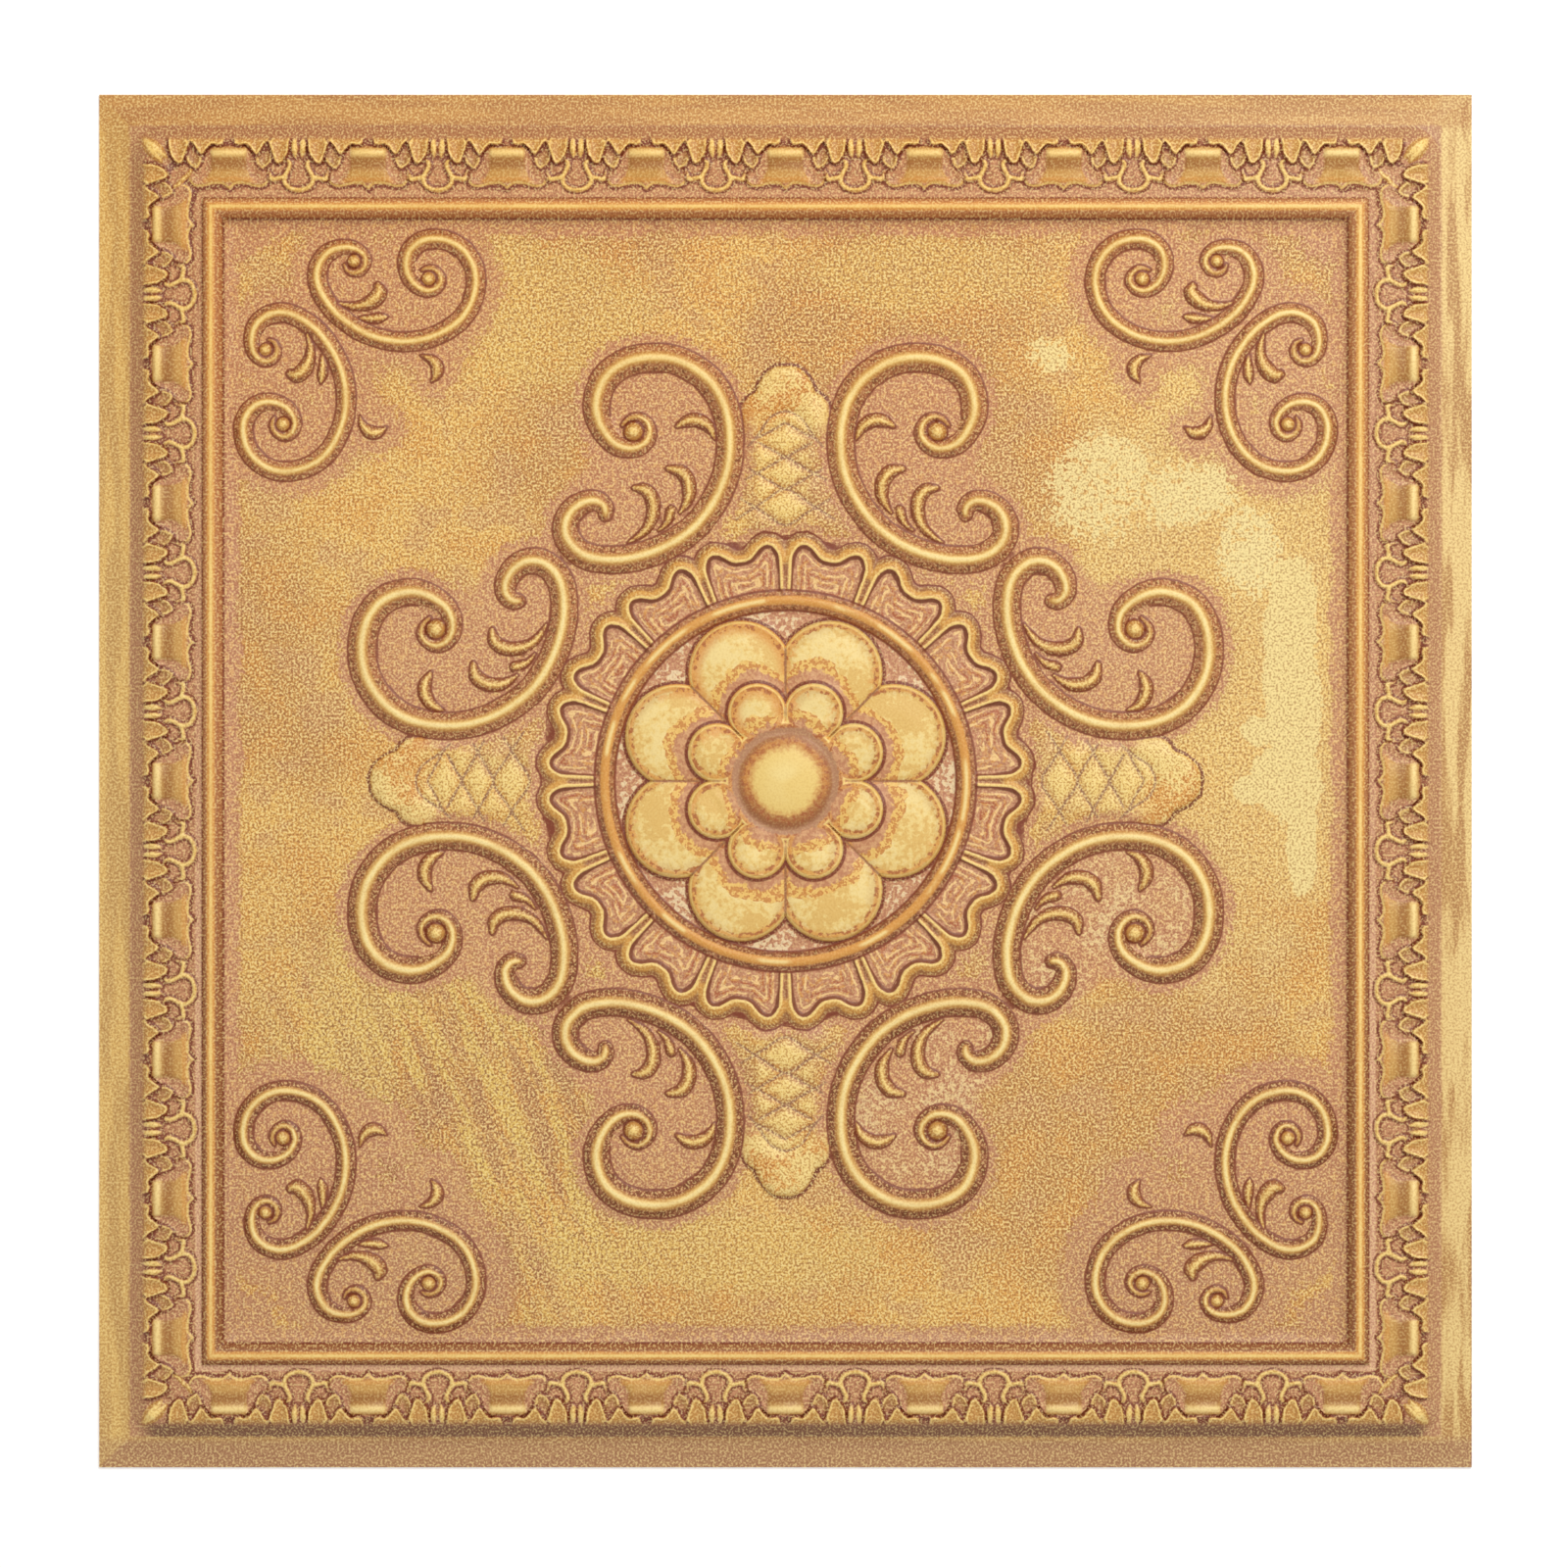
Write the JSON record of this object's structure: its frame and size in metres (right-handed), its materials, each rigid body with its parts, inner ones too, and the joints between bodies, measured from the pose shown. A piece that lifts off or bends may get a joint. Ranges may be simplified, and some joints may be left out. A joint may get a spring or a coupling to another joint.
{
  "type": "ceiling tile",
  "caption": "Square decorative ceiling tile: a thin formed sheet with a flat flange, a leaf-and-egg border, a beaded frame, scrolls and a central rosette in relief.",
  "frame": {"origin": "centre of the tile at the underside of its flange", "axes": "+Z out of the decorated face, +X and +Y along two edges"},
  "size_m": [0.603, 0.603, 0.014],
  "materials": {
    "gilded_sheet": "satin"
  },
  "bodies": {
    "root": {"ceiling_tile": "gilded_sheet"}
  },
  "joints": []
}
